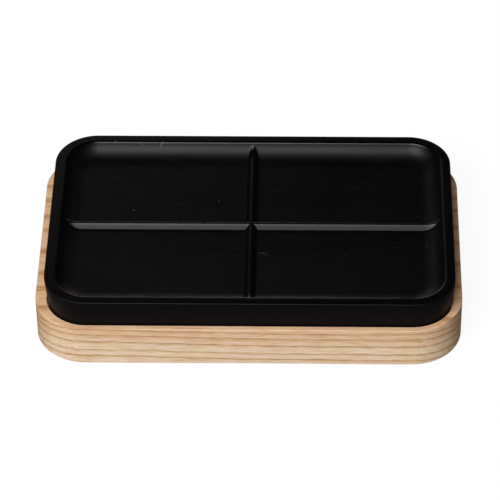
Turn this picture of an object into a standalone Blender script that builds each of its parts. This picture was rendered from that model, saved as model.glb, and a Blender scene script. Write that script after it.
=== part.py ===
"""Soap dish: a black moulded tray with a raised cross, seated in a pocket in an ash base on four rubber feet.

Metres, +Z up, +X along the length, the front towards -Y. The origin is under the middle of the base,
at the height of the surface that the dish stands on.
"""

import math

import bmesh
import bpy
from mathutils import Matrix

# Tray outside, measured at the rim
TRAY_LENGTH = 0.1340
TRAY_DEPTH = 0.0854
TRAY_CORNER_RADIUS = 0.0141
TRAY_RISE = 0.0101
TRAY_OFFSET_X = 0.0004
TRAY_DRAFT_DEGREES = 5.0
TRAY_EDGE_RADIUS = 0.0005
RIM_BAND_HEIGHT = 0.0010

# Tray inside
RIM_WIDTH = 0.0034
DISH_DEPTH = 0.0043
COVE_RADIUS = 0.0073
TRAY_FLOOR_THICKNESS = 0.0030
SKIRT_THICKNESS = 0.0028

# Raised cross on the tray's floor
RIDGE_HEIGHT = 0.00155
RIDGE_TOP_WIDTH = 0.0014
RIDGE_SLOPE_DEGREES = 48.0
RIDGE_EDGE_RADIUS = 0.0003
RIDGE_ROOT_DEPTH = 0.0006

# Base, worked out from the pocket that holds the tray
LEDGE_AT_ENDS = 0.0034
LEDGE_AT_SIDES = 0.0020
LEDGE_AT_CORNERS = 0.0030
BASE_FLOOR_THICKNESS = 0.0119
BASE_EDGE_RADIUS = 0.0006
POCKET_DEPTH = 0.0030
POCKET_EDGE_CHAMFER = 0.0002

# Feet
FOOT_RADIUS = 0.0050
FOOT_PROUD = 0.0008
FOOT_SEAT_DEPTH = 0.0010
FOOT_INSET = 0.0170
FOOT_EDGE_RADIUS = 0.0003

# Clearances
TRAY_SIDE_GAP = 0.0004
TRAY_REST_GAP = 0.0003
FOOT_SIDE_GAP = 0.0003
FOOT_TOP_GAP = 0.0003
CUT_OVERRUN = 0.0020

# Fineness of the curves
CORNER_SEGMENTS = 12
COVE_SEGMENTS = 6
EDGE_SEGMENTS = 3
RIDGE_EDGE_SEGMENTS = 2
FOOT_SEGMENTS = 32
SHARP_DEGREES = 40.0

# Heights above the surface that the dish stands on
base_height = BASE_FLOOR_THICKNESS + POCKET_DEPTH
base_bottom = FOOT_PROUD
base_top = base_bottom + base_height
pocket_floor = base_top - POCKET_DEPTH
tray_bottom = pocket_floor + TRAY_REST_GAP
tray_height = base_top + TRAY_RISE - tray_bottom

# Plan sizes that follow from the tray's
draft_slope = math.tan(math.radians(TRAY_DRAFT_DEGREES))
draft_at_base_top = draft_slope * (TRAY_RISE - RIM_BAND_HEIGHT)
pocket_growth = TRAY_SIDE_GAP - draft_at_base_top
pocket_length = TRAY_LENGTH + 2 * pocket_growth
pocket_depth_y = TRAY_DEPTH + 2 * pocket_growth
pocket_corner_radius = TRAY_CORNER_RADIUS + pocket_growth
base_length = pocket_length + 2 * LEDGE_AT_ENDS
base_depth_y = pocket_depth_y + 2 * LEDGE_AT_SIDES
base_corner_radius = pocket_corner_radius + LEDGE_AT_CORNERS


def clear_scene():
    for item in list(bpy.data.objects):
        bpy.data.objects.remove(item, do_unlink=True)


def new_collection(name):
    collection = bpy.data.collections.new(name)
    bpy.context.scene.collection.children.link(collection)
    return collection


def new_material(name, colour, roughness):
    material = bpy.data.materials.new(name)
    material.use_nodes = True
    shader = material.node_tree.nodes["Principled BSDF"]
    shader.inputs["Base Color"].default_value = (*colour, 1.0)
    shader.inputs["Roughness"].default_value = roughness
    shader.inputs["Metallic"].default_value = 0.0
    return material


def mesh_from(bm, name):
    """Turns the working mesh into a smooth-shaded one that keeps its real edges sharp."""
    bmesh.ops.recalc_face_normals(bm, faces=bm.faces)
    mesh = bpy.data.meshes.new(name)
    bm.to_mesh(mesh)
    bm.free()
    mesh.shade_smooth()
    mesh.set_sharp_from_angle(angle=math.radians(SHARP_DEGREES))
    return mesh


def add_part(name, mesh, material):
    if not mesh.materials:
        mesh.materials.append(material)
    part = bpy.data.objects.new(name, mesh)
    part_collection.objects.link(part)
    return part


def add_tool(name, mesh):
    """A helper that is cut from a part or joined to one, and isn't a part itself."""
    tool = bpy.data.objects.new(name, mesh)
    tool.display_type = "WIRE"
    tool.hide_render = True
    tool_collection.objects.link(tool)
    return tool


def add_edge_rounding(part, radius):
    rounding = part.modifiers.new("edge_rounding", "BEVEL")
    rounding.width = radius
    rounding.segments = EDGE_SEGMENTS
    rounding.limit_method = "ANGLE"
    rounding.angle_limit = math.radians(SHARP_DEGREES)


def add_boolean(part, tool, operation):
    boolean = part.modifiers.new(tool.name, "BOOLEAN")
    boolean.operation = operation
    boolean.solver = "EXACT"
    boolean.object = tool


def rounded_block(length, depth, corner_radius, low, high):
    """A box with rounded upright edges, centred on the Z axis between the heights low and high."""
    bm = bmesh.new()
    bmesh.ops.create_cube(bm, size=1.0)
    size = Matrix.Diagonal((length, depth, high - low, 1.0))
    place = Matrix.Translation((0.0, 0.0, (low + high) / 2))
    bmesh.ops.transform(bm, matrix=place @ size, verts=bm.verts)
    upright = [edge for edge in bm.edges if abs(edge.verts[0].co.z - edge.verts[1].co.z) > (high - low) / 2]
    bmesh.ops.bevel(
        bm, geom=upright, offset=corner_radius, segments=CORNER_SEGMENTS, profile=0.5, affect="EDGES"
    )
    return bm


def end_face(bm, direction):
    """The block's top face for a direction of 1, or its bottom face for -1."""
    return max(bm.faces, key=lambda face: face.normal.z * direction * face.calc_area())


def draw_in(bm, face, steps):
    """Takes a face through steps of (distance drawn in from its outline, distance moved along its normal)."""
    for inset, rise in steps:
        bmesh.ops.inset_individual(bm, faces=[face], thickness=inset, depth=rise, use_even_offset=True)


def cove_steps():
    """The inner wall from the rim down to the floor: a hollow curve that meets the floor level."""
    curve_depth = min(DISH_DEPTH, COVE_RADIUS)
    start_angle = math.acos(1 - curve_depth / COVE_RADIUS)
    steps = []
    if DISH_DEPTH > curve_depth:
        steps.append((0.0, curve_depth - DISH_DEPTH))
    for index in range(COVE_SEGMENTS):
        upper = start_angle * (1 - index / COVE_SEGMENTS)
        lower = start_angle * (1 - (index + 1) / COVE_SEGMENTS)
        inset = COVE_RADIUS * (math.sin(upper) - math.sin(lower))
        drop = COVE_RADIUS * (math.cos(lower) - math.cos(upper))
        steps.append((inset, -drop))
    return steps


def ridge_bar(name, length, turn):
    """One bar of the raised cross: sloping sides, root sunk in the floor, ends in the walls."""
    slope = math.tan(math.radians(RIDGE_SLOPE_DEGREES))
    height = RIDGE_HEIGHT + RIDGE_ROOT_DEPTH
    root_width = RIDGE_TOP_WIDTH + 2 * height / slope
    floor_height = tray_height - DISH_DEPTH
    bm = bmesh.new()
    bmesh.ops.create_cube(bm, size=1.0)
    size = Matrix.Diagonal((length, root_width, height, 1.0))
    place = Matrix.Translation((0.0, 0.0, floor_height + RIDGE_HEIGHT - height / 2))
    bmesh.ops.transform(bm, matrix=place @ size, verts=bm.verts)
    upper = [vert for vert in bm.verts if vert.co.z > floor_height]
    bmesh.ops.scale(bm, vec=(1.0, RIDGE_TOP_WIDTH / root_width, 1.0), verts=upper)
    long_edges = [edge for edge in bm.edges if all(vert in upper for vert in edge.verts)]
    long_edges = [edge for edge in long_edges if edge.calc_length() > length / 2]
    bmesh.ops.bevel(
        bm,
        geom=long_edges,
        offset=RIDGE_EDGE_RADIUS,
        segments=RIDGE_EDGE_SEGMENTS,
        profile=0.5,
        affect="EDGES",
    )
    bmesh.ops.rotate(bm, matrix=Matrix.Rotation(turn, 3, "Z"), verts=bm.verts)
    return add_tool(name, mesh_from(bm, name))


def make_tray():
    """A wall that leans in below the rim's upright band, with the dish inside it and a hollow underneath."""
    wall_height = tray_height - RIM_BAND_HEIGHT
    hollow_depth = tray_height - DISH_DEPTH - TRAY_FLOOR_THICKNESS
    bm = rounded_block(TRAY_LENGTH, TRAY_DEPTH, TRAY_CORNER_RADIUS, wall_height, tray_height)
    draw_in(bm, end_face(bm, 1), [(RIM_WIDTH, 0.0), *cove_steps()])
    underside = [
        (draft_slope * wall_height, wall_height),
        (SKIRT_THICKNESS, 0.0),
        (0.0, -hollow_depth),
    ]
    draw_in(bm, end_face(bm, -1), underside)
    tray = add_part("tray", mesh_from(bm, "tray"), tray_material)
    add_edge_rounding(tray, TRAY_EDGE_RADIUS)
    bars = {
        "ridge_along_length": (TRAY_LENGTH - RIM_WIDTH, 0.0),
        "ridge_across_depth": (TRAY_DEPTH - RIM_WIDTH, math.pi / 2),
    }
    for name, (length, turn) in bars.items():
        bar = ridge_bar(name, length, turn)
        bar.parent = tray
        add_boolean(tray, bar, "UNION")
    lift = bpy.data.objects.new("tray_lift", None)
    lift.location = (TRAY_OFFSET_X, 0.0, tray_bottom)
    part_collection.objects.link(lift)
    tray.parent = lift
    return tray


def pocket_tool():
    """The pocket follows the tray's outline, with a small chamfer where it meets the base's top face."""
    chamfer = POCKET_EDGE_CHAMFER
    bm = rounded_block(
        pocket_length + 2 * chamfer,
        pocket_depth_y + 2 * chamfer,
        pocket_corner_radius + chamfer,
        base_height,
        base_height + CUT_OVERRUN,
    )
    draw_in(bm, end_face(bm, -1), [(chamfer, chamfer), (0.0, POCKET_DEPTH - chamfer)])
    return add_tool("pocket", mesh_from(bm, "pocket"))


def foot_places():
    """Each foot's name and its centre, the same distance in from the base's ends and sides."""
    across = base_length / 2 - FOOT_INSET
    along = base_depth_y / 2 - FOOT_INSET
    for row, side_y in (("front", -1), ("back", 1)):
        for side, side_x in (("left", -1), ("right", 1)):
            yield f"{row}_{side}", side_x * across, side_y * along


def disc(radius, low, high):
    bm = bmesh.new()
    bmesh.ops.create_cone(
        bm, cap_ends=True, segments=FOOT_SEGMENTS, radius1=radius, radius2=radius, depth=high - low
    )
    bmesh.ops.translate(bm, vec=(0.0, 0.0, (low + high) / 2), verts=bm.verts)
    return bm


def make_base():
    bm = rounded_block(base_length, base_depth_y, base_corner_radius, 0.0, base_height)
    base = add_part("base", mesh_from(bm, "base"), ash_material)
    base.location = (0.0, 0.0, base_bottom)
    add_edge_rounding(base, BASE_EDGE_RADIUS)
    pocket = pocket_tool()
    pocket.location = (TRAY_OFFSET_X, 0.0, 0.0)
    pocket.parent = base
    add_boolean(base, pocket, "DIFFERENCE")
    seat_mesh = mesh_from(disc(FOOT_RADIUS + FOOT_SIDE_GAP, -CUT_OVERRUN, FOOT_SEAT_DEPTH), "foot_seat")
    for place, x, y in foot_places():
        seat = add_tool(f"foot_seat_{place}", seat_mesh)
        seat.location = (x, y, 0.0)
        seat.parent = base
        add_boolean(base, seat, "DIFFERENCE")
    return base


def make_feet():
    foot_height = FOOT_PROUD + FOOT_SEAT_DEPTH - FOOT_TOP_GAP
    foot_mesh = mesh_from(disc(FOOT_RADIUS, 0.0, foot_height), "foot")
    for place, x, y in foot_places():
        foot = add_part(f"foot_{place}", foot_mesh, rubber_material)
        foot.location = (x, y, 0.0)
        add_edge_rounding(foot, FOOT_EDGE_RADIUS)


clear_scene()
part_collection = new_collection("soap_dish")
tool_collection = new_collection("soap_dish_tools")
ash_material = new_material("ash", (0.62, 0.42, 0.25), 0.55)
tray_material = new_material("tray_black", (0.006, 0.006, 0.006), 0.42)
rubber_material = new_material("foot_rubber", (0.03, 0.03, 0.03), 0.8)
make_tray()
make_base()
make_feet()
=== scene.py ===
"""Soap dish: the looks of a matte black coved tray in an ash base on rubber feet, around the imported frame.

Meshes are written in millimetres in the frame's axes and scaled to metres at the end.
"""

import math
from typing import NamedTuple

import bmesh
import bpy
from mathutils import Matrix, Vector


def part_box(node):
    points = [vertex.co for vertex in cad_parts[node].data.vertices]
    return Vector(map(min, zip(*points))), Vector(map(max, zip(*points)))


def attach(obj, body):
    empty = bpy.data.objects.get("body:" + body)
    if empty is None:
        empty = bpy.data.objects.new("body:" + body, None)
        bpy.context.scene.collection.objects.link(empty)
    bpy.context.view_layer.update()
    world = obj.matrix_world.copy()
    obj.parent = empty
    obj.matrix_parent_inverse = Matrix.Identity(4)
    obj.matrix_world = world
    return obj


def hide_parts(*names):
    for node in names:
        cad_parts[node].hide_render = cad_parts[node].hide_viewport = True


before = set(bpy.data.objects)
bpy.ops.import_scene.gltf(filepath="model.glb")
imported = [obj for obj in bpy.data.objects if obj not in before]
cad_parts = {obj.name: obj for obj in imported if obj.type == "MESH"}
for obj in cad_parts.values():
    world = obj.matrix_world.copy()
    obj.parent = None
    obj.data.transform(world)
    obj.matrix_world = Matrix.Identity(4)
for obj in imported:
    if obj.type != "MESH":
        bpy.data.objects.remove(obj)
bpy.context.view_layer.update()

MM = 0.001

# The camera, as fitted to the outlines of the tray, the rim and the base, in degrees and metres
CAMERA_AZIMUTH = 1.536
CAMERA_ELEVATION = 41.358
CAMERA_ROLL = -0.681
CAMERA_DISTANCE = 1.040263
CAMERA_TARGET = (-0.000417, 0.011941, 0.0008)
CAMERA_NEAR = 0.05
CAMERA_FAR = 50.0

# Its focal length and the photo's width in pixels, and its sensor's width in millimetres
CAMERA_FOCUS_PIXELS = 3052.565
PHOTO_PIXELS = 500
SENSOR_WIDTH = 36.0

# Tray, in millimetres: the rim, the outer wall and the hollow underside
TRAY_CORNER_RADIUS = 14.1
RIM_WIDTH = 3.4
RIM_EXTRA_WIDTH_LEFT = 0.3
RIM_BAND_HEIGHT = 1.0
RIM_CROWN = 0.12
RIM_OUTER_EDGE_RADIUS = 0.2
RIM_INNER_EDGE_RADIUS_BACK = 1.0
RIM_INNER_EDGE_RADIUS_FRONT = 1.35
RIM_INNER_EDGE_RADIUS_LEFT = 0.3
RIM_INNER_EDGE_RADIUS_RIGHT = 1.7
WALL_LEAN_DEGREES = 5.0
SKIRT_EDGE_RADIUS = 0.5
SKIRT_THICKNESS = 2.8
TRAY_FLOOR_THICKNESS = 3.0
HOLLOW_FILLET = 1.0

# The dish inside the rim. COVE_START is how far out from the skeleton its cove starts, except at the left
DISH_DEPTH = 4.3
COVE_RADIUS = 7.3
COVE_WIDTH = math.sqrt(COVE_RADIUS**2 - (COVE_RADIUS - DISH_DEPTH) ** 2)
COVE_START = TRAY_CORNER_RADIUS - RIM_WIDTH - COVE_WIDTH

# The raised cross: its long ridge runs left to right and its short one front to back
RIDGE_HEIGHT = 1.55
LONG_RIDGE_HALF_TOP = 0.58
LONG_RIDGE_HALF_FOOT = 1.98
LONG_RIDGE_Y = 0.48
LONG_RIDGE_SLOPE = RIDGE_HEIGHT / (LONG_RIDGE_HALF_FOOT - LONG_RIDGE_HALF_TOP)
SHORT_RIDGE_HALF_TOP = 0.45
SHORT_RIDGE_HALF_FOOT = 2.1
SHORT_RIDGE_SLOPE = RIDGE_HEIGHT / (SHORT_RIDGE_HALF_FOOT - SHORT_RIDGE_HALF_TOP)

# How softly the cross's edges, its foot and the ends of its foot on the cove are rounded
RIDGE_EDGE_BLEND = 0.18
LONG_RIDGE_BACK_BLEND = 0.9
SHORT_RIDGE_LEFT_BLEND = 0.35
RIDGE_FOOT_BLEND = 0.18
RIDGE_END_BLEND = 0.55

# Each crest sweeps up over this length at its ends, by a power of the distance
RIDGE_SWEEP_LENGTH = 6.0
RIDGE_SWEEP_RISE = 1.6
RIDGE_SWEEP_POWER = 3

# Wear, where 1 is an edge that is rubbed smooth: the rim's top, how much less its inner edge has at the
# right, and the height over which it fades out from the edges of the crests, in millimetres
RIM_WEAR = 0.35
EDGE_WEAR_LOSS_RIGHT = 0.55
RIDGE_WEAR_REACH = 0.7

# Scuffs on the tray: place to the right and to the back, length and width in millimetres, turn in degrees
# and strength
SCUFFS = (
    (4.3, -13.1, 4.2, 0.35, 0.0, 0.34),
    (5.6, -14.1, 2.6, 0.3, 0.0, 0.22),
    (-31.0, 38.9, 2.9, 0.45, 48.0, 0.5),
    (-37.8, 38.9, 2.4, 0.8, -22.0, 0.1),
    (-46.8, 39.6, 0.9, 0.6, 0.0, 0.45),
    (-39.2, 8.4, 0.9, 0.7, 0.0, 0.42),
    (-10.8, 13.3, 0.7, 0.7, 0.0, 0.3),
    (-32.1, 29.4, 0.6, 0.6, 0.0, 0.22),
    (31.9, -13.8, 1.1, 0.6, 25.0, 0.17),
    (58.5, -9.0, 3.2, 0.4, 64.0, 0.13),
)

# Base, in millimetres. The pocket's skeleton is the tray's
BASE_CORNER_RADIUS = 16.7
BASE_EDGE_RADIUS = 0.3
POCKET_CORNER_RADIUS = 13.7
POCKET_DEPTH = 3.0
POCKET_EDGE_RADIUS = 0.22
POCKET_FLOOR_FILLET = 0.4
FOOT_SEAT_RADIUS = 5.3
FOOT_SEAT_DEPTH = 1.0

# Waves of the hand sanding along the base's edges: share of their radius, radians per millimetre to the
# right and to the back, and phase
SANDING_WAVES = (
    (0.14, 0.11, 0.0, 0.6),
    (0.1, -0.07, 0.23, 1.9),
)

# Feet, in millimetres
FOOT_EDGE_RADIUS = 0.35

# Distances from the cross's middle to the lines of the tray's grid: close over the ridges, wider beyond them
GRID_CLOSE = (
    0.15, 0.27, 0.34, 0.4, 0.46, 0.52, 0.58, 0.64, 0.7, 0.8, 1.0, 1.25, 1.5, 1.68, 1.8,
    1.88, 1.95, 2.02, 2.09, 2.16, 2.24, 2.35, 2.6, 3.2,
)
GRID_WIDE_X = (5.0, 8.0, 12.0, 17.0, 23.0, 29.0, 35.0, 41.0, 47.0)
GRID_WIDE_Y = (5.0, 8.0, 12.0, 17.0, 22.0)

# Rings on the flat stretches of the tray: distances out from the skeleton on the floor and on the ceiling
# of the hollow, heights above and below the band's end, and one height above the wall's foot
FLOOR_RINGS = (1.2, 2.4, 3.4)
CEILING_RING = 4.0
BAND_RING_RISE = 0.2
WALL_RING_DROPS = (0.3, 3.0, 7.0)
WALL_RING_RISE = 0.8

# Rings on the flat faces of a foot, as shares of its radius
FOOT_FACE_RINGS = (0.5, 0.85)

# Steps round the rounded stretches, across the rim and along the base's grid
CORNER_STEPS = 24
COVE_STEPS = 32
INNER_EDGE_STEPS = 9
RIM_STEPS = 6
OUTER_EDGE_STEPS = 6
SKIRT_STEPS = 5
BASE_EDGE_STEPS = 6
POCKET_STEPS = 4
BASE_GRID_STEPS_X = 24
BASE_GRID_STEPS_Y = 14
FOOT_EDGE_STEPS = 4
FOOT_SEGMENTS = 64

# Edges of the foot seats are sharp from this angle between faces, in degrees
SEAT_SHARP_ANGLE = 50.0

# Lamps: name, azimuth and elevation in degrees, distance, width and height in metres, radiance and colour
STRIP_COLOUR = (1.0, 0.88, 0.94)
LAMPS = (
    ("key_softbox", -25.0, 47.0, 1.4, 1.05, 0.85, 9.05, (1.0, 1.0, 1.0)),
    ("back_strip", 200.0, 29.0, 0.5, 0.3, 0.16, 0.42, STRIP_COLOUR),
    ("right_strip", 152.0, 27.0, 1.3, 0.5, 0.35, 0.21, STRIP_COLOUR),
    ("horizon_strip", 183.0, 6.0, 0.4, 0.16, 0.07, 2.75, STRIP_COLOUR),
)

# The world's light on the dish, and how strong the white background is in reflections, as shares of white
WHITE = (1.0, 1.0, 1.0, 1.0)
AMBIENT = 0.06
AMBIENT_COLOUR = (1.0, 0.74, 0.52, 1.0)
BACKGROUND_IN_GLOSS = 0.01

# The floor, with its radius in metres. The light that it sends back is less where the camera or a reflection
# sees it, and its glow fills the background up to white
FLOOR_RADIUS = 4.0
FLOOR_SEGMENTS = 96
FLOOR_ALBEDO = 0.5
FLOOR_ALBEDO_SEEN = 0.11
FLOOR_ALBEDO_IN_GLOSS = 0.10
FLOOR_GLOW = 0.92


# Meshes


def steps(start, end, count):
    """Count + 1 values from start to end, evenly apart."""
    return [start + (end - start) * k / count for k in range(count + 1)]


def both_sides(distances):
    """Rising distances on both sides of zero, in order."""
    return [-value for value in reversed(distances)] + [0.0] + distances


def smooth_max(first, second, width):
    """The larger of two values, rounded where they are closer than a width."""
    overlap = max(width - abs(first - second), 0.0) / width
    return max(first, second) + overlap * overlap * width / 4


def smooth_min(first, second, width):
    """The smaller of two values, rounded where they are closer than a width."""
    return -smooth_max(-first, -second, width)


class RingPoint(NamedTuple):
    """A point of the rings: its place on the skeleton, its outward direction and its place in the grid."""

    x: float
    y: float
    out_x: float
    out_y: float
    column: int
    row: int


class Outline:
    """The points of the rings round a skeleton, the rectangle between the centres of the round corners.

    The places of the grid's lines inside it, side_x and side_y, run from one side to the other.
    """

    def __init__(self, side_x, side_y, centre_x):
        self.side_x = side_x
        self.side_y = side_y
        self.centre_x = centre_x
        self.points = []
        last_column = len(side_x) - 1
        last_row = len(side_y) - 1
        for row in range(last_row + 1):
            self._add_side_point(last_column, row, 1.0, 0.0)
        self._add_corner(last_column, last_row, 0.0)
        for column in range(last_column, -1, -1):
            self._add_side_point(column, last_row, 0.0, 1.0)
        self._add_corner(0, last_row, 90.0)
        for row in range(last_row, -1, -1):
            self._add_side_point(0, row, -1.0, 0.0)
        self._add_corner(0, 0, 180.0)
        for column in range(last_column + 1):
            self._add_side_point(column, 0, 0.0, -1.0)
        self._add_corner(last_column, 0, 270.0)

    def _add_side_point(self, column, row, out_x, out_y):
        self.points.append(RingPoint(self.side_x[column], self.side_y[row], out_x, out_y, column, row))

    def _add_corner(self, column, row, start):
        """The points between two sides, which share their place on the skeleton."""
        for k in range(1, CORNER_STEPS):
            angle = math.radians(start + 90.0 * k / CORNER_STEPS)
            self._add_side_point(column, row, math.cos(angle), math.sin(angle))


class RingMesh:
    """A closed mesh made of rings round rectangles, with a grid inside the first ring and the last."""

    def __init__(self):
        self.points = []
        self.wear = []
        self.faces = []
        self.last = None

    def add_ring(self, outline, radius, height, wear=0.0):
        """Radius, height and wear are each a number, or a list with one for each point of the outline."""
        count = len(outline.points)
        columns = [value if isinstance(value, list) else [value] * count for value in (radius, height, wear)]
        ring = []
        for point, out, up, worn in zip(outline.points, *columns):
            ring.append(len(self.points))
            x = outline.centre_x + point.x + out * point.out_x
            self.points.append((x, point.y + out * point.out_y, up))
            self.wear.append(worn)
        self._join(ring)

    def add_grid(self, outline, surface_at):
        """The surface gives a height and a wear for a place."""
        first = len(self.points)
        rows = len(outline.side_y)
        for x in outline.side_x:
            for y in outline.side_y:
                up, worn = surface_at(x, y)
                self.points.append((outline.centre_x + x, y, up))
                self.wear.append(worn)
        for i in range(len(outline.side_x) - 1):
            for j in range(rows - 1):
                corner = first + i * rows + j
                self.faces.append((corner, corner + rows, corner + rows + 1, corner + 1))
        self._join([first + point.column * rows + point.row for point in outline.points])

    def _join(self, ring):
        """Faces from the last ring to this one, which are triangles round the corner of a grid."""
        if self.last is not None:
            count = len(ring)
            for k in range(count):
                after = (k + 1) % count
                corners = [self.last[k], self.last[after], ring[after], ring[k]]
                distinct = list(dict.fromkeys(corners))
                if len(distinct) > 2:
                    self.faces.append(tuple(distinct))
        self.last = ring

    def mesh(self, name):
        """The finished mesh in metres, with the wear as an attribute of its points."""
        mesh = bpy.data.meshes.new(name)
        mesh.from_pydata([[value * MM for value in point] for point in self.points], [], self.faces)
        closed_and_smooth(mesh)
        mesh.attributes.new("wear", "FLOAT", "POINT").data.foreach_set("value", self.wear)
        return mesh


def closed_and_smooth(mesh):
    """The mesh with its faces turned outwards and shaded smooth."""
    bm = bmesh.new()
    bm.from_mesh(mesh)
    bmesh.ops.recalc_face_normals(bm, faces=bm.faces)
    bm.to_mesh(mesh)
    bm.free()
    mesh.shade_smooth()
    return mesh


def add_piece(name, mesh, material, body, node):
    """Add a piece that stands for a CAD node, rides on its body and wears the given material."""
    piece = bpy.data.objects.new(name, mesh)
    bpy.context.scene.collection.objects.link(piece)
    mesh.materials.append(material)
    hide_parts(node)
    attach(piece, body)


def in_millimetres(node):
    """The low and the high corner of a CAD node's box."""
    low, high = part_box(node)
    return Vector(low) / MM, Vector(high) / MM


def skeleton_of(node, corner_radius):
    """The half sides of the skeleton inside a CAD node's box, and how far right its centre is."""
    low, high = in_millimetres(node)
    half_x = (high.x - low.x) / 2 - corner_radius
    half_y = (high.y - low.y) / 2 - corner_radius
    return half_x, half_y, (low.x + high.x) / 2


# Tray


def sweep(distance, start):
    """How far a crest has risen at a distance from the middle, once it is over the cove."""
    return RIDGE_SWEEP_RISE * (max(distance - start, 0.0) / RIDGE_SWEEP_LENGTH) ** RIDGE_SWEEP_POWER


class InnerEdge:
    """The rim's inner edge in one direction: finest at the left, softest at the right.

    The cove rises on an arc to its end angle, and the rounding goes on from there to the rim's top.
    """

    def __init__(self, out_x, out_y):
        end = RIM_INNER_EDGE_RADIUS_RIGHT if out_x > 0 else RIM_INNER_EDGE_RADIUS_LEFT
        side = RIM_INNER_EDGE_RADIUS_BACK if out_y > 0 else RIM_INNER_EDGE_RADIUS_FRONT
        self.radius = side + (end - side) * out_x**2
        reach = COVE_RADIUS + self.radius
        drop = COVE_RADIUS - DISH_DEPTH + self.radius
        self.cove_start = COVE_START - RIM_EXTRA_WIDTH_LEFT * max(-out_x, 0.0)
        self.cove_end = math.acos(drop / reach)
        self.centre = self.cove_start + math.sqrt(reach**2 - drop**2)


class Tray:
    """The tray's mesh, to the CAD tray's box, from the dish's middle over the rim to the hollow below."""

    def __init__(self):
        low, high = in_millimetres("tray")
        self.bottom = low.z
        self.top = high.z
        self.floor = self.top - DISH_DEPTH
        self.band_end = self.top - RIM_BAND_HEIGHT
        self.half_x, self.half_y, centre_x = skeleton_of("tray", TRAY_CORNER_RADIUS)
        side_x = both_sides([*GRID_CLOSE, *GRID_WIDE_X, self.half_x])
        side_y = both_sides([*GRID_CLOSE, *GRID_WIDE_Y, self.half_y])
        side_y = [y + LONG_RIDGE_Y * (1 - abs(y) / self.half_y) for y in side_y]
        self.outline = Outline(side_x, side_y, centre_x)
        self.edges = [InnerEdge(point.out_x, point.out_y) for point in self.outline.points]
        self.shape = RingMesh()

    def mesh(self):
        self.add_dish()
        self.add_inner_edge()
        self.add_rim_top()
        self.add_wall()
        self.add_hollow()
        return self.shape.mesh("tray_moulding")

    def ridge_at(self, x, y):
        """Height and wear of the cross at a place."""
        long_top = self.floor + RIDGE_HEIGHT + sweep(abs(x), self.half_x + COVE_START)
        short_top = self.floor + RIDGE_HEIGHT + sweep(abs(y), self.half_y + COVE_START)
        long_side = long_top - (abs(y - LONG_RIDGE_Y) - LONG_RIDGE_HALF_TOP) * LONG_RIDGE_SLOPE
        short_side = short_top - (abs(x) - SHORT_RIDGE_HALF_TOP) * SHORT_RIDGE_SLOPE
        wedge = smooth_max(long_side, short_side, RIDGE_FOOT_BLEND)
        top = max(long_top, short_top)
        if long_side > short_side:
            blend_width = LONG_RIDGE_BACK_BLEND if y > LONG_RIDGE_Y else RIDGE_EDGE_BLEND
        else:
            blend_width = SHORT_RIDGE_LEFT_BLEND if x < 0 else RIDGE_EDGE_BLEND
        worn = max(1.0 - abs(wedge - top) / RIDGE_WEAR_REACH, 0.0)
        return smooth_min(wedge, top, blend_width), worn

    def dish_at(self, x, y, surface, climb):
        """Height and wear of the dish at a place, with the cross blended into its surface.

        Climb is 0 up to the cove's foot and 1 at its end.
        """
        ridge, worn = self.ridge_at(x, y)
        foot_blend = RIDGE_FOOT_BLEND + RIDGE_END_BLEND * math.sin(math.pi * climb)
        return smooth_max(surface, ridge, foot_blend), worn if ridge > surface else 0.0

    def add_dish_ring(self, radii, surfaces, climbs):
        heights = []
        wears = []
        for point, out, surface, climb in zip(self.outline.points, radii, surfaces, climbs):
            x = point.x + out * point.out_x
            y = point.y + out * point.out_y
            height, worn = self.dish_at(x, y, surface, climb)
            heights.append(height)
            wears.append(worn)
        self.shape.add_ring(self.outline, radii, heights, wears)

    def add_dish(self):
        """The floor and the cove, with the cross on them."""
        self.shape.add_grid(self.outline, lambda x, y: self.dish_at(x, y, self.floor, 0.0))
        count = len(self.edges)
        for radius in FLOOR_RINGS:
            self.add_dish_ring([radius] * count, [self.floor] * count, [0.0] * count)
        for share in steps(0.0, 1.0, COVE_STEPS):
            radii = []
            surfaces = []
            climbs = []
            for edge in self.edges:
                angle = edge.cove_end * share
                radii.append(edge.cove_start + COVE_RADIUS * math.sin(angle))
                surfaces.append(self.floor + COVE_RADIUS * (1 - math.cos(angle)))
                climbs.append((1 - math.cos(angle)) / (1 - math.cos(edge.cove_end)))
            self.add_dish_ring(radii, surfaces, climbs)

    def add_inner_edge(self):
        wears = [1.0 - EDGE_WEAR_LOSS_RIGHT * max(point.out_x, 0.0) for point in self.outline.points]
        for share in steps(1.0, 0.0, INNER_EDGE_STEPS)[1:]:
            radii = []
            heights = []
            for edge in self.edges:
                angle = edge.cove_end * share
                radii.append(edge.centre - edge.radius * math.sin(angle))
                heights.append(self.top - edge.radius * (1 - math.cos(angle)))
            self.shape.add_ring(self.outline, radii, heights, wears)

    def add_rim_top(self):
        """The rim's top and outer edge. The top falls a little outwards, except at the back."""
        outer_edge = TRAY_CORNER_RADIUS - RIM_OUTER_EDGE_RADIUS
        falls = [RIM_CROWN * (1 - max(point.out_y, 0.0)) for point in self.outline.points]
        for share in steps(0.0, 1.0, RIM_STEPS)[1:]:
            radii = [edge.centre + (outer_edge - edge.centre) * share for edge in self.edges]
            heights = [self.top - fall * share * share for fall in falls]
            self.shape.add_ring(self.outline, radii, heights, RIM_WEAR)
        for angle in steps(0.0, math.pi / 2, OUTER_EDGE_STEPS)[1:]:
            radius = outer_edge + RIM_OUTER_EDGE_RADIUS * math.sin(angle)
            edge_fall = RIM_OUTER_EDGE_RADIUS * (1 - math.cos(angle))
            self.shape.add_ring(self.outline, radius, [self.top - fall - edge_fall for fall in falls])

    def wall_radius(self, height):
        """How far out the leaning wall is at a height."""
        return TRAY_CORNER_RADIUS - math.tan(math.radians(WALL_LEAN_DEGREES)) * (self.band_end - height)

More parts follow.
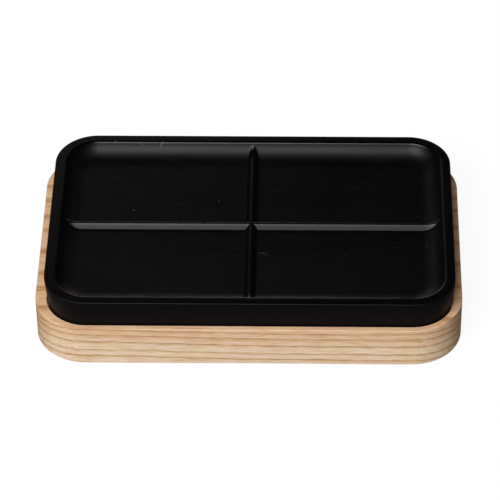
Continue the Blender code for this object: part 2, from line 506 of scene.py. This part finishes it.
    def add_wall(self):
        """The upright band, the leaning wall below it and the wall's rounded foot."""
        self.shape.add_ring(self.outline, TRAY_CORNER_RADIUS, self.band_end + BAND_RING_RISE)
        heights = [self.band_end - drop for drop in WALL_RING_DROPS]
        for height in [*heights, self.bottom + WALL_RING_RISE]:
            self.shape.add_ring(self.outline, self.wall_radius(height), height)
        foot = self.wall_radius(self.bottom)
        for angle in steps(0.0, math.pi / 2, SKIRT_STEPS):
            radius = foot - SKIRT_EDGE_RADIUS + SKIRT_EDGE_RADIUS * math.cos(angle)
            height = self.bottom + SKIRT_EDGE_RADIUS * (1 - math.sin(angle))
            self.shape.add_ring(self.outline, radius, height)

    def add_hollow(self):
        """The inner side of the wall and the ceiling of the hollow under the floor."""
        inside = self.wall_radius(self.bottom) - SKIRT_THICKNESS
        for angle in steps(math.pi / 2, 0.0, SKIRT_STEPS):
            radius = inside + SKIRT_EDGE_RADIUS - SKIRT_EDGE_RADIUS * math.cos(angle)
            height = self.bottom + SKIRT_EDGE_RADIUS * (1 - math.sin(angle))
            self.shape.add_ring(self.outline, radius, height)
        ceiling = self.floor - TRAY_FLOOR_THICKNESS
        for angle in steps(0.0, math.pi / 2, SKIRT_STEPS):
            radius = inside - HOLLOW_FILLET + HOLLOW_FILLET * math.cos(angle)
            self.shape.add_ring(self.outline, radius, ceiling - HOLLOW_FILLET * (1 - math.sin(angle)))
        self.shape.add_ring(self.outline, CEILING_RING, ceiling)
        self.shape.add_grid(self.outline, lambda x, y: (ceiling, 0.0))


# Base


def sanded(x, y):
    """How much of the base's edge the sanding took at a place, as a share of its usual radius."""
    waves = [share * math.sin(to_x * x + to_y * y + phase) for share, to_x, to_y, phase in SANDING_WAVES]
    return 1.0 + sum(waves)


def base_outline(node, corner_radius):
    """An outline round a CAD node's skeleton, with the base's grid inside it."""
    half_x, half_y, centre_x = skeleton_of(node, corner_radius)
    side_x = steps(-half_x, half_x, BASE_GRID_STEPS_X)
    side_y = steps(-half_y, half_y, BASE_GRID_STEPS_Y)
    return Outline(side_x, side_y, centre_x)


def base_mesh():
    """The block with its pocket, before the seats for the feet are cut."""
    low, high = in_millimetres("base")
    shape = RingMesh()
    add_block(shape, base_outline("base", BASE_CORNER_RADIUS), low.z, high.z)
    add_pocket(shape, base_outline("tray", TRAY_CORNER_RADIUS), high.z)
    return shape.mesh("base_block")


def add_block(shape, outline, bottom, top):
    """The base's underside, its wall and its ledge, with edges that were sanded by hand."""
    edges = [BASE_EDGE_RADIUS * sanded(point.x, point.y) for point in outline.points]

    def add_edge_ring(height, facing, angle):
        """A ring of the rounding between the wall and a flat face, which faces up (1) or down (-1).

        An angle of 0 is at the flat face.
        """
        radii = [BASE_CORNER_RADIUS - edge * (1 - math.sin(angle)) for edge in edges]
        heights = [height - facing * edge * (1 - math.cos(angle)) for edge in edges]
        shape.add_ring(outline, radii, heights)

    flat_radius = BASE_CORNER_RADIUS - 2 * BASE_EDGE_RADIUS
    shape.add_grid(outline, lambda x, y: (bottom, 0.0))
    shape.add_ring(outline, BASE_CORNER_RADIUS / 2, bottom)
    shape.add_ring(outline, flat_radius, bottom)
    for angle in steps(0.0, math.pi / 2, BASE_EDGE_STEPS):
        add_edge_ring(bottom, -1, angle)
    for height in (bottom + 2 * BASE_EDGE_RADIUS, (bottom + top) / 2, top - 2 * BASE_EDGE_RADIUS):
        shape.add_ring(outline, BASE_CORNER_RADIUS, height)
    for angle in steps(math.pi / 2, 0.0, BASE_EDGE_STEPS):
        add_edge_ring(top, 1, angle)
    shape.add_ring(outline, flat_radius, top)


def add_pocket(shape, outline, top):
    """The pocket, with its edge just broken and its floor's corner as the cutter leaves it."""
    lip = POCKET_EDGE_RADIUS
    shape.add_ring(outline, POCKET_CORNER_RADIUS + 2 * lip, top)
    for angle in steps(0.0, math.pi / 2, POCKET_STEPS):
        radius = POCKET_CORNER_RADIUS + lip * (1 - math.sin(angle))
        shape.add_ring(outline, radius, top - lip * (1 - math.cos(angle)))
    pocket_floor = top - POCKET_DEPTH
    fillet = POCKET_FLOOR_FILLET
    for angle in steps(0.0, math.pi / 2, POCKET_STEPS):
        radius = POCKET_CORNER_RADIUS - fillet * (1 - math.cos(angle))
        shape.add_ring(outline, radius, pocket_floor + fillet * (1 - math.sin(angle)))
    shape.add_ring(outline, POCKET_CORNER_RADIUS / 2, pocket_floor)
    shape.add_grid(outline, lambda x, y: (pocket_floor, 0.0))


def foot_seat(foot):
    """A disc that cuts the seat of a foot into the base's underside."""
    base_low, _ = in_millimetres("base")
    low, high = in_millimetres(foot)
    place = ((low.x + high.x) / 2 * MM, (low.y + high.y) / 2 * MM, base_low.z * MM)
    bm = bmesh.new()
    bmesh.ops.create_cone(
        bm,
        cap_ends=True,
        segments=FOOT_SEGMENTS,
        radius1=FOOT_SEAT_RADIUS * MM,
        radius2=FOOT_SEAT_RADIUS * MM,
        depth=2 * FOOT_SEAT_DEPTH * MM,
        matrix=Matrix.Translation(place),
    )
    mesh = bpy.data.meshes.new("foot_seat")
    bm.to_mesh(mesh)
    bm.free()
    seat = bpy.data.objects.new("foot_seat", mesh)
    bpy.context.scene.collection.objects.link(seat)
    return seat


def cut_foot_seats(mesh, feet):
    """The block's mesh with a round seat cut in its underside at each foot."""
    block = bpy.data.objects.new("uncut_block", mesh)
    bpy.context.scene.collection.objects.link(block)
    seats = [foot_seat(foot) for foot in feet]
    for seat in seats:
        boolean = block.modifiers.new("foot_seat", "BOOLEAN")
        boolean.operation = "DIFFERENCE"
        boolean.solver = "EXACT"
        boolean.object = seat
    bpy.context.view_layer.update()
    dressed = block.evaluated_get(bpy.context.evaluated_depsgraph_get())
    cut = bpy.data.meshes.new_from_object(dressed)
    for item in (block, *seats):
        bpy.data.objects.remove(item, do_unlink=True)
    cut.shade_smooth()
    cut.set_sharp_from_angle(angle=math.radians(SEAT_SHARP_ANGLE))
    return cut


# Feet


def foot_mesh(node):
    """A turned disc with rounded edges, made to the CAD foot's box."""
    low, high = in_millimetres(node)
    centre = (low + high) / 2
    radius = (high.x - low.x) / 2
    edge = FOOT_EDGE_RADIUS
    profile = [(radius * share, low.z) for share in FOOT_FACE_RINGS]
    for angle in steps(-math.pi / 2, 0.0, FOOT_EDGE_STEPS):
        profile.append((radius - edge + edge * math.cos(angle), low.z + edge + edge * math.sin(angle)))
    for angle in steps(0.0, math.pi / 2, FOOT_EDGE_STEPS):
        profile.append((radius - edge + edge * math.cos(angle), high.z - edge + edge * math.sin(angle)))
    profile += [(radius * share, high.z) for share in reversed(FOOT_FACE_RINGS)]
    points = []
    for out, height in profile:
        for k in range(FOOT_SEGMENTS):
            turn = 2 * math.pi * k / FOOT_SEGMENTS
            place = (centre.x + out * math.cos(turn), centre.y + out * math.sin(turn), height)
            points.append([value * MM for value in place])
    faces = []
    for row in range(len(profile) - 1):
        this_ring = row * FOOT_SEGMENTS
        next_ring = this_ring + FOOT_SEGMENTS
        for k in range(FOOT_SEGMENTS):
            after = (k + 1) % FOOT_SEGMENTS
            faces.append((this_ring + k, this_ring + after, next_ring + after, next_ring + k))
    first = list(range(FOOT_SEGMENTS))
    last = [len(points) - FOOT_SEGMENTS + k for k in first]
    faces += [tuple(reversed(first)), tuple(last)]
    mesh = bpy.data.meshes.new("foot_disc")
    mesh.from_pydata(points, [], faces)
    return closed_and_smooth(mesh)


# Material nodes


def set_inputs(tree, node, inputs):
    """An input is a plain value or another node's output."""
    for name, value in inputs.items():
        if isinstance(value, bpy.types.NodeSocket):
            tree.links.new(value, node.inputs[name])
        else:
            node.inputs[name].default_value = value


def add_node(tree, kind, inputs=None, **settings):
    """A node with its settings and inputs."""
    made = tree.nodes.new(kind)
    for name, value in settings.items():
        setattr(made, name, value)
    set_inputs(tree, made, inputs or {})
    return made


def calc(tree, operation, *values):
    """The output of a Math node."""
    return add_node(tree, "ShaderNodeMath", dict(enumerate(values)), operation=operation).outputs[0]


def remap(tree, value, start, end, low, high, smooth=True):
    """A value taken from the range start to end into the range low to high, and held at its ends."""
    inputs = {"Value": value, "From Min": start, "From Max": end, "To Min": low, "To Max": high}
    kind = "SMOOTHSTEP" if smooth else "LINEAR"
    return add_node(tree, "ShaderNodeMapRange", inputs, interpolation_type=kind).outputs[0]


def spread(tree, noise, low, high, reach=0.2):
    """The middle stretch of a noise, within a reach of one half, taken evenly into the range low to high."""
    return remap(tree, noise, 0.5 - reach, 0.5 + reach, low, high, smooth=False)


def add_centred(tree, noise, amount, value):
    """A value with an amount of a noise added, so that the noise's usual one half changes nothing."""
    return calc(tree, "MULTIPLY_ADD", calc(tree, "SUBTRACT", noise, 0.5), amount, value)


def stretched(tree, vector, factors):
    """A vector with each of its axes multiplied by a factor."""
    scaled = add_node(tree, "ShaderNodeVectorMath", {0: vector, 1: factors}, operation="MULTIPLY")
    return scaled.outputs[0]


def noise_at(tree, vector, detail=2.0, roughness=0.5):
    """A noise of one grain per unit of the vector."""
    inputs = {"Vector": vector, "Scale": 1.0, "Detail": detail, "Roughness": roughness}
    return add_node(tree, "ShaderNodeTexNoise", inputs).outputs[0]


def blend(tree, factor, first, second, kind="MIX"):
    """Two colours mixed by a factor; a colour is four numbers or another node's output."""
    # A Mix node has its colours at inputs 6 and 7, and their mix at output 2
    inputs = {0: factor, 6: first, 7: second}
    return add_node(tree, "ShaderNodeMix", inputs, data_type="RGBA", blend_type=kind).outputs[2]


def grey(tree, value):
    """A grey colour from a value."""
    return add_node(tree, "ShaderNodeCombineColor", {0: value, 1: value, 2: value}).outputs[0]


def ramp(tree, value, stops):
    """A colour ramp through stops of (place, colour)."""
    made = add_node(tree, "ShaderNodeValToRGB", {0: value})
    points = made.color_ramp.elements
    while len(points) < len(stops):
        points.new(1.0)
    for point, (place, colour) in zip(points, stops):
        point.position = place
        point.color = (*colour, 1.0)
    return made.outputs[0]


def add_bump(tree, shader, height, strength, distance):
    """Relief in the shading, with its distance in millimetres."""
    inputs = {"Strength": strength, "Distance": distance * MM, "Height": height}
    bump = add_node(tree, "ShaderNodeBump", inputs)
    set_inputs(tree, shader, {"Normal": bump.outputs[0]})


def new_material(name):
    """A material, its node tree, its shader, the place on the object in millimetres, and where it faces."""
    material = bpy.data.materials.new(name)
    material.use_nodes = True
    tree = material.node_tree
    coordinates = add_node(tree, "ShaderNodeTexCoord").outputs
    place = stretched(tree, coordinates["Object"], (1 / MM, 1 / MM, 1 / MM))
    facing = add_node(tree, "ShaderNodeSeparateXYZ", {0: coordinates["Normal"]}).outputs
    return material, tree, tree.nodes["Principled BSDF"], place, facing


# Ash. Lengths are in millimetres, and grains of noise per millimetre are given along, across and up

# Heights of the growth layers' dark lines above the base's underside, at the right end of its front
LAYER_HEIGHTS = (-1.0, 2.1, 4.6, 8.2, 11.2, 13.5, 16.5, 18.9, 20.5, 23.4, 25.8, 27.7, 29.8, 31.4, 34.0)
LAYER_SPAN = (-4.0, 38.0)

# The layers fall by this much for each millimetre to the back, and by this much on the way to the right
# between two places along the base
LAYER_LEAN = 0.25
LAYER_FALL = 1.3
LAYER_FALL_START = -62.0
LAYER_FALL_END = 10.0

# They wander up and down in long waves and ripple in short ones
WANDER = 1.1
WANDER_GRAIN = (0.022, 0.06, 0.06)
RIPPLE = 0.35
RIPPLE_GRAIN = (0.11, 0.3, 0.3)

# Shades on the way down from one dark line to the next: tan wood first, and then paler wood
LAYER_SHADES = (
    (0.0, 0.1),
    (0.08, 0.2),
    (0.17, 0.5),
    (0.28, 0.7),
    (0.5, 0.82),
    (0.78, 0.86),
    (0.88, 0.68),
    (0.94, 0.36),
    (1.0, 0.1),
)

# The layers show more or less strongly round their middle shade
MIDDLE_SHADE = 0.78
LAYER_STRENGTH = (0.7, 1.15)
LAYER_STRENGTH_GRAIN = (0.05, 0.35, 0.35)

# Each layer has a faint line too: its first place, how far that varies, its reach and its shade
FAINT_LINE_PLACE = 0.38
FAINT_LINE_SHIFT = 0.3
FAINT_LINE_REACH = 0.08
FAINT_LINE_SHADE = -0.18

# Fibres and patches are lighter and darker by this much
FIBRE_SHADE = 0.5
FIBRE_REACH = 0.25
FIBRE_GRAIN = (0.15, 2.3, 2.3)
FIBRE_DETAIL = 4.0
FIBRE_ROUGHNESS = 0.6
PATCH_SHADE = 0.12
PATCH_GRAIN = (0.08, 0.5, 0.5)
PATCH_DETAIL = 3.0

# Pores are short dark strokes, and most of them lie near the top of a layer
PORE_SHADE = -0.3
PORE_RELIEF = -0.6
PORE_GRAIN = (0.3, 4.2, 4.2)
PORE_NOISE_RANGE = (0.6, 0.68)
PORE_FADE_RANGE = (0.3, 0.5)
PORE_LEAST = 0.3

# Colours of the wood by shade, and a cast of hue that changes in patches
WOOD_COLOURS = (
    (0.0, (0.42, 0.254, 0.115)),
    (0.25, (0.51, 0.333, 0.177)),
    (0.5, (0.605, 0.416, 0.243)),
    (0.75, (0.675, 0.49, 0.322)),
    (1.0, (0.725, 0.56, 0.4)),
)
PINK_CAST = (1.02, 0.98, 1.03, 1.0)
YELLOW_CAST = (1.0, 1.0, 0.94, 1.0)
CAST_GRAIN = (0.07, 0.28, 0.28)
CAST_REACH = 0.15

# The wood is paler low down and warmer above, with the change between these heights of the layers
WARM_RANGE = (7.0, 11.0)
PALE_TONE = (1.05, 1.1, 1.17, 1.0)
WARM_TONE = (0.99, 0.935, 0.91, 1.0)

# The ends across the grain and the sanded top are darker and warmer, by how far a face turns to them
END_GRAIN_TONE = (0.81, 0.75, 0.69, 1.0)
END_GRAIN_RANGE = (0.55, 0.98)
TOP_TONE = (0.98, 0.92, 0.87, 1.0)
TOP_RANGE = (0.6, 0.95)

# The oiled surface
ASH_SPECULAR = 0.3
ASH_ROUGHNESS = (0.5, 0.62)
END_GRAIN_ROUGHNESS = 0.12
PORE_ROUGHNESS = 0.1
ASH_BUMP_STRENGTH = 0.35
ASH_BUMP_DISTANCE = 0.06


def layer_number(tree, height):
    """The number of growth layers below a height, with whole numbers at the dark lines."""
    low, high = LAYER_SPAN
    share = remap(tree, height, low, high, 0.0, 1.0, smooth=False)
    curve = add_node(tree, "ShaderNodeFloatCurve", {"Value": share})
    line = curve.mapping.curves[0]
    count = len(LAYER_HEIGHTS) + 1
    line.points[0].location = (0.0, 0.0)
    line.points[-1].location = (1.0, 1.0)
    for k, layer_height in enumerate(LAYER_HEIGHTS):
        line.points.new((layer_height - low) / (high - low), (k + 1) / count)
    for point in line.points:
        point.handle_type = "VECTOR"
    curve.mapping.update()
    return calc(tree, "MULTIPLY", curve.outputs[0], float(count))


def layer_height_at(tree, place):
    """The height of a place among the growth layers, as if they lay level."""
    low, _ = in_millimetres("base")
    axes = add_node(tree, "ShaderNodeSeparateXYZ", {0: place}).outputs
    fall = remap(tree, axes[0], LAYER_FALL_START, LAYER_FALL_END, LAYER_FALL, 0.0)
    lean = calc(tree, "MULTIPLY_ADD", axes[1], LAYER_LEAN, -LAYER_LEAN * low.y - low.z)
    height = calc(tree, "SUBTRACT", calc(tree, "ADD", axes[2], lean), fall)
    wander = noise_at(tree, stretched(tree, place, WANDER_GRAIN), detail=1.0)
    ripple = noise_at(tree, stretched(tree, place, RIPPLE_GRAIN))
    return add_centred(tree, ripple, RIPPLE, add_centred(tree, wander, WANDER, height))


def layer_shade(tree, place, layers, below):
    """The shade that a growth layer gives, with its faint line; below is the share of the way down it."""
    shade = ramp(tree, below, [(share, (tone, tone, tone)) for share, tone in LAYER_SHADES])
    strength = noise_at(tree, stretched(tree, place, LAYER_STRENGTH_GRAIN))
    strength = spread(tree, strength, *LAYER_STRENGTH)
    shade = calc(tree, "MULTIPLY_ADD", calc(tree, "SUBTRACT", shade, MIDDLE_SHADE), strength, MIDDLE_SHADE)
    number = calc(tree, "FLOOR", layers)
    chance = add_node(tree, "ShaderNodeTexWhiteNoise", {"W": number}, noise_dimensions="1D").outputs[0]
    faint_place = calc(tree, "MULTIPLY_ADD", chance, FAINT_LINE_SHIFT, FAINT_LINE_PLACE)
    distance = calc(tree, "ABSOLUTE", calc(tree, "SUBTRACT", below, faint_place))
    return calc(tree, "ADD", shade, remap(tree, distance, 0.0, FAINT_LINE_REACH, FAINT_LINE_SHADE, 0.0))


def pores_at(tree, place, below):
    """1 in a pore and 0 beside it."""
    pore = noise_at(tree, stretched(tree, place, PORE_GRAIN), detail=1.0)
    pore = remap(tree, pore, *PORE_NOISE_RANGE, 0.0, 1.0)
    return calc(tree, "MULTIPLY", pore, remap(tree, below, *PORE_FADE_RANGE, 1.0, PORE_LEAST))


def wood_colour(tree, place, shade, height):
    """The wood's colour for a shade, with its patches of hue and its change from pale to warm."""
    wood = ramp(tree, shade, WOOD_COLOURS)
    hue = spread(tree, noise_at(tree, stretched(tree, place, CAST_GRAIN)), 0.0, 1.0, CAST_REACH)
    wood = blend(tree, 1.0, wood, blend(tree, hue, PINK_CAST, YELLOW_CAST), "MULTIPLY")
    warmth = remap(tree, height, *WARM_RANGE, 0.0, 1.0)
    return blend(tree, 1.0, wood, blend(tree, warmth, PALE_TONE, WARM_TONE), "MULTIPLY")


def ash_material():
    material, tree, shader, place, facing = new_material("oiled_ash")
    height = layer_height_at(tree, place)
    layers = layer_number(tree, height)
    below = calc(tree, "SUBTRACT", 1.0, calc(tree, "FRACT", layers))
    fibre = noise_at(tree, stretched(tree, place, FIBRE_GRAIN), FIBRE_DETAIL, FIBRE_ROUGHNESS)
    patch = noise_at(tree, stretched(tree, place, PATCH_GRAIN), PATCH_DETAIL)
    pore = pores_at(tree, place, below)
    shade = layer_shade(tree, place, layers, below)
    shade = calc(tree, "ADD", shade, spread(tree, fibre, -FIBRE_SHADE, FIBRE_SHADE, FIBRE_REACH))
    shade = calc(tree, "ADD", shade, spread(tree, patch, -PATCH_SHADE, PATCH_SHADE))
    shade = calc(tree, "MULTIPLY_ADD", pore, PORE_SHADE, shade)
    colour = wood_colour(tree, place, shade, height)
    end_grain = remap(tree, calc(tree, "ABSOLUTE", facing[0]), *END_GRAIN_RANGE, 0.0, 1.0)
    colour = blend(tree, end_grain, colour, END_GRAIN_TONE, "MULTIPLY")
    upward = remap(tree, facing[2], *TOP_RANGE, 0.0, 1.0)
    colour = blend(tree, upward, colour, TOP_TONE, "MULTIPLY")
    rough = spread(tree, fibre, *ASH_ROUGHNESS)
    rough = calc(tree, "MULTIPLY_ADD", end_grain, END_GRAIN_ROUGHNESS, rough)
    rough = calc(tree, "MULTIPLY_ADD", pore, PORE_ROUGHNESS, rough)
    set_inputs(tree, shader, {"Base Color": colour, "Roughness": rough, "Specular IOR Level": ASH_SPECULAR})
    relief = calc(tree, "MULTIPLY_ADD", pore, PORE_RELIEF, fibre)
    add_bump(tree, shader, relief, ASH_BUMP_STRENGTH, ASH_BUMP_DISTANCE)
    return material


# Black moulding. Its blacks change slowly from place to place, and it has a fine tooth

BLACKS = (
    (0.35, (0.0004, 0.00034, 0.00036)),
    (0.65, (0.0007, 0.0006, 0.00063)),
)
BLACK_GRAIN = (0.05, 0.05, 0.05)
BLACK_DETAIL = 3.0
TOOTH_GRAIN = (3.0, 3.0, 3.0)
TRAY_ROUGHNESS = (0.43, 0.47)
TOOTH_ROUGHNESS = 0.05
WEAR_ROUGHNESS = -0.21
TRAY_TINT = (1.0, 0.95, 0.99, 1.0)
TRAY_BUMP_STRENGTH = 0.2
TRAY_BUMP_DISTANCE = 0.01

# The outer wall is chalkier and less glossy than the dish. It is told by how far a face turns up or down
WALL_RANGE = (0.15, 0.4)
DISH_SPECULAR = 0.235
WALL_SPECULAR = 0.085
WALL_CHALK = (0.0032, 0.0031, 0.0038, 1.0)

# Marks: fine streaks, turned by an angle in radians, specks of dust, and scuffs, whose outer part fades out
MARK_COLOUR = (0.16, 0.155, 0.15, 1.0)
STREAK_TURN = 0.5
STREAK_GRAIN = (0.14, 5.0, 0.3)
STREAK_NOISE_RANGE = (0.78, 0.82)
STREAK_STRENGTH = 0.06
DUST_GRAIN = 0.11
DUST_RANGE = (0.012, 0.022)
DUST_RARITY = 0.86
DUST_STRENGTH = 0.12
SCUFF_CORE = 0.3

# A scuff goes straight down through the tray, as it is seen from above
SCUFF_DEPTH = 1000.0


def scuff_at(tree, place, centre, size, turn, strength):
    """A soft mark, longer than it is wide, with its turn in degrees."""
    inputs = {
        "Vector": place,
        "Location": (*centre, 0.0),
        "Rotation": (0.0, 0.0, math.radians(turn)),
        "Scale": (size[0] / 2, size[1] / 2, SCUFF_DEPTH),
    }
    inside = add_node(tree, "ShaderNodeMapping", inputs, vector_type="TEXTURE").outputs[0]
    reach = add_node(tree, "ShaderNodeVectorMath", {0: inside}, operation="LENGTH").outputs["Value"]
    return remap(tree, reach, SCUFF_CORE, 1.0, strength, 0.0)


def streaks_at(tree, place):
    inputs = {"Vector": place, "Rotation": (0.0, 0.0, STREAK_TURN), "Scale": STREAK_GRAIN}
    turned = add_node(tree, "ShaderNodeMapping", inputs).outputs[0]
    streak = remap(tree, noise_at(tree, turned, detail=0.0), *STREAK_NOISE_RANGE, 0.0, 1.0)
    return calc(tree, "MULTIPLY", streak, STREAK_STRENGTH)


def dust_at(tree, place):
    """Specks at the centres of a few cells."""
    cells = add_node(tree, "ShaderNodeTexVoronoi", {"Vector": place, "Scale": DUST_GRAIN}).outputs
    near = remap(tree, cells["Distance"], *DUST_RANGE, 1.0, 0.0)
    chance = add_node(tree, "ShaderNodeSeparateColor", {0: cells["Color"]}).outputs[0]
    dust = calc(tree, "MULTIPLY", near, calc(tree, "GREATER_THAN", chance, DUST_RARITY))
    return calc(tree, "MULTIPLY", dust, DUST_STRENGTH)


def tray_material():
    material, tree, shader, place, facing = new_material("matte_black_moulding")
    cloud = noise_at(tree, stretched(tree, place, BLACK_GRAIN), BLACK_DETAIL)
    tooth = noise_at(tree, stretched(tree, place, TOOTH_GRAIN))
    wall = remap(tree, calc(tree, "ABSOLUTE", facing[2]), *WALL_RANGE, 1.0, 0.0)
    mark = calc(tree, "MAXIMUM", streaks_at(tree, place), dust_at(tree, place))
    for x, y, length, width, turn, strength in SCUFFS:
        mark = calc(tree, "MAXIMUM", mark, scuff_at(tree, place, (x, y), (length, width), turn, strength))
    colour = blend(tree, wall, ramp(tree, cloud, BLACKS), WALL_CHALK)
    colour = blend(tree, mark, colour, MARK_COLOUR)
    rough = add_centred(tree, tooth, TOOTH_ROUGHNESS, spread(tree, cloud, *TRAY_ROUGHNESS))
    wear = add_node(tree, "ShaderNodeAttribute", attribute_name="wear").outputs["Fac"]
    rough = calc(tree, "MULTIPLY_ADD", wear, WEAR_ROUGHNESS, rough)
    specular = calc(tree, "MULTIPLY_ADD", wall, WALL_SPECULAR - DISH_SPECULAR, DISH_SPECULAR)
    set_inputs(tree, shader, {"Base Color": colour, "Roughness": rough})
    set_inputs(tree, shader, {"Specular IOR Level": specular, "Specular Tint": TRAY_TINT})
    add_bump(tree, shader, tooth, TRAY_BUMP_STRENGTH, TRAY_BUMP_DISTANCE)
    return material


# Rubber

RUBBER_COLOURS = (
    (0.3, (0.024, 0.024, 0.025)),
    (0.7, (0.036, 0.036, 0.037)),
)
RUBBER_GRAIN = (0.4, 0.4, 0.4)
RUBBER_DETAIL = 3.0
RUBBER_TOOTH_GRAIN = (5.0, 5.0, 5.0)
RUBBER_TOOTH_RANGE = (0.3, 0.7)
RUBBER_ROUGHNESS = (0.72, 0.88)
RUBBER_BUMP_STRENGTH = 0.3
RUBBER_BUMP_DISTANCE = 0.03


def rubber_material():
    material, tree, shader, place, _ = new_material("foot_rubber")
    cloud = noise_at(tree, stretched(tree, place, RUBBER_GRAIN), RUBBER_DETAIL)
    tooth = noise_at(tree, stretched(tree, place, RUBBER_TOOTH_GRAIN))
    rough = remap(tree, tooth, *RUBBER_TOOTH_RANGE, *RUBBER_ROUGHNESS)
    set_inputs(tree, shader, {"Base Color": ramp(tree, cloud, RUBBER_COLOURS), "Roughness": rough})
    add_bump(tree, shader, tooth, RUBBER_BUMP_STRENGTH, RUBBER_BUMP_DISTANCE)
    return material


# Stage: floor, world, lamps and camera


def background_rays(tree):
    """1 where a ray shows the background plainly, and 1 where it is a reflection."""
    rays = add_node(tree, "ShaderNodeLightPath").outputs
    plain = calc(tree, "MAXIMUM", rays["Is Camera Ray"], rays["Is Transmission Ray"])
    return plain, rays["Is Glossy Ray"]


def floor_material():
    material = bpy.data.materials.new("pale_floor")
    material.use_nodes = True
    tree = material.node_tree
    tree.nodes.clear()
    plain, glossy = background_rays(tree)
    albedo = calc(tree, "MULTIPLY_ADD", plain, FLOOR_ALBEDO_SEEN - FLOOR_ALBEDO, FLOOR_ALBEDO)
    albedo = calc(tree, "MULTIPLY_ADD", glossy, FLOOR_ALBEDO_IN_GLOSS - FLOOR_ALBEDO, albedo)
    diffuse = add_node(tree, "ShaderNodeBsdfDiffuse", {"Color": grey(tree, albedo)})
    glow_level = calc(tree, "MULTIPLY_ADD", glossy, BACKGROUND_IN_GLOSS, plain)
    glow_level = calc(tree, "MULTIPLY", glow_level, FLOOR_GLOW)
    glow = add_node(tree, "ShaderNodeEmission", {"Strength": glow_level})
    both = add_node(tree, "ShaderNodeAddShader", {0: diffuse.outputs[0], 1: glow.outputs[0]})
    add_node(tree, "ShaderNodeOutputMaterial", {"Surface": both.outputs[0]})
    return material


def add_floor():
    bm = bmesh.new()
    bmesh.ops.create_circle(bm, cap_ends=True, segments=FLOOR_SEGMENTS, radius=FLOOR_RADIUS)
    mesh = bpy.data.meshes.new("floor")
    bm.to_mesh(mesh)
    bm.free()
    mesh.materials.append(floor_material())
    floor = bpy.data.objects.new("floor", mesh)
    bpy.context.scene.collection.objects.link(floor)


def set_world():
    """White to the camera, and a dim warm light on the dish."""
    world = bpy.data.worlds.new("pale_room")
    world.use_nodes = True
    tree = world.node_tree
    tree.nodes.clear()
    plain, glossy = background_rays(tree)
    strength = calc(tree, "MULTIPLY_ADD", plain, 1.0 - AMBIENT, AMBIENT)
    strength = calc(tree, "MULTIPLY_ADD", glossy, BACKGROUND_IN_GLOSS - AMBIENT, strength)
    colour = blend(tree, plain, AMBIENT_COLOUR, WHITE)
    background = add_node(tree, "ShaderNodeBackground", {"Color": colour, "Strength": strength})
    add_node(tree, "ShaderNodeOutputWorld", {"Surface": background.outputs[0]})
    bpy.context.scene.world = world


def direction(azimuth, elevation):
    """From the dish towards a place, by angles in degrees; azimuth 0 is the front and 90 is the right."""
    around = math.radians(azimuth)
    up = math.radians(elevation)
    return Vector((math.sin(around) * math.cos(up), -math.cos(around) * math.cos(up), math.sin(up)))


def add_lamp(name, azimuth, elevation, distance, width, height, radiance, colour):
    """A rectangular lamp that faces the dish and that the camera doesn't see.

    Its power is worked out from its radiance and its area.
    """
    light = bpy.data.lights.new(name, "AREA")
    light.shape = "RECTANGLE"
    light.size = width
    light.size_y = height
    light.energy = radiance * math.pi * width * height
    light.color = colour
    lamp = bpy.data.objects.new(name, light)
    bpy.context.scene.collection.objects.link(lamp)
    towards = direction(azimuth, elevation)
    lamp.location = towards * distance
    lamp.rotation_mode = "QUATERNION"
    lamp.rotation_quaternion = towards.to_track_quat("Z", "Y")
    lamp.visible_camera = False


def add_camera():
    data = bpy.data.cameras.new("camera")
    data.lens = CAMERA_FOCUS_PIXELS / PHOTO_PIXELS * SENSOR_WIDTH
    data.sensor_width = SENSOR_WIDTH
    data.clip_start = CAMERA_NEAR
    data.clip_end = CAMERA_FAR
    camera = bpy.data.objects.new("camera", data)
    bpy.context.scene.collection.objects.link(camera)
    back = direction(CAMERA_AZIMUTH, CAMERA_ELEVATION)
    around = math.radians(CAMERA_AZIMUTH)
    right = Vector((math.cos(around), math.sin(around), 0.0))
    up = back.cross(right)
    roll = math.radians(CAMERA_ROLL)
    rolled_right = right * math.cos(roll) + up * math.sin(roll)
    rolled_up = up * math.cos(roll) - right * math.sin(roll)
    camera.rotation_mode = "QUATERNION"
    camera.rotation_quaternion = Matrix((rolled_right, rolled_up, back)).transposed().to_quaternion()
    camera.location = Vector(CAMERA_TARGET) + back * CAMERA_DISTANCE
    bpy.context.scene.camera = camera


add_piece("tray_moulding", Tray().mesh(), tray_material(), "tray", "tray")

feet = [f"foot_{row}_{side}" for row in ("front", "back") for side in ("left", "right")]
base_block = cut_foot_seats(base_mesh(), feet)
add_piece("base_block", base_block, ash_material(), "base", "base")
rubber = rubber_material()
for foot in feet:
    add_piece(f"{foot}_disc", foot_mesh(foot), rubber, "base", foot)

add_floor()
set_world()
for lamp_settings in LAMPS:
    add_lamp(*lamp_settings)
add_camera()
bpy.context.scene.view_settings.view_transform = "Standard"
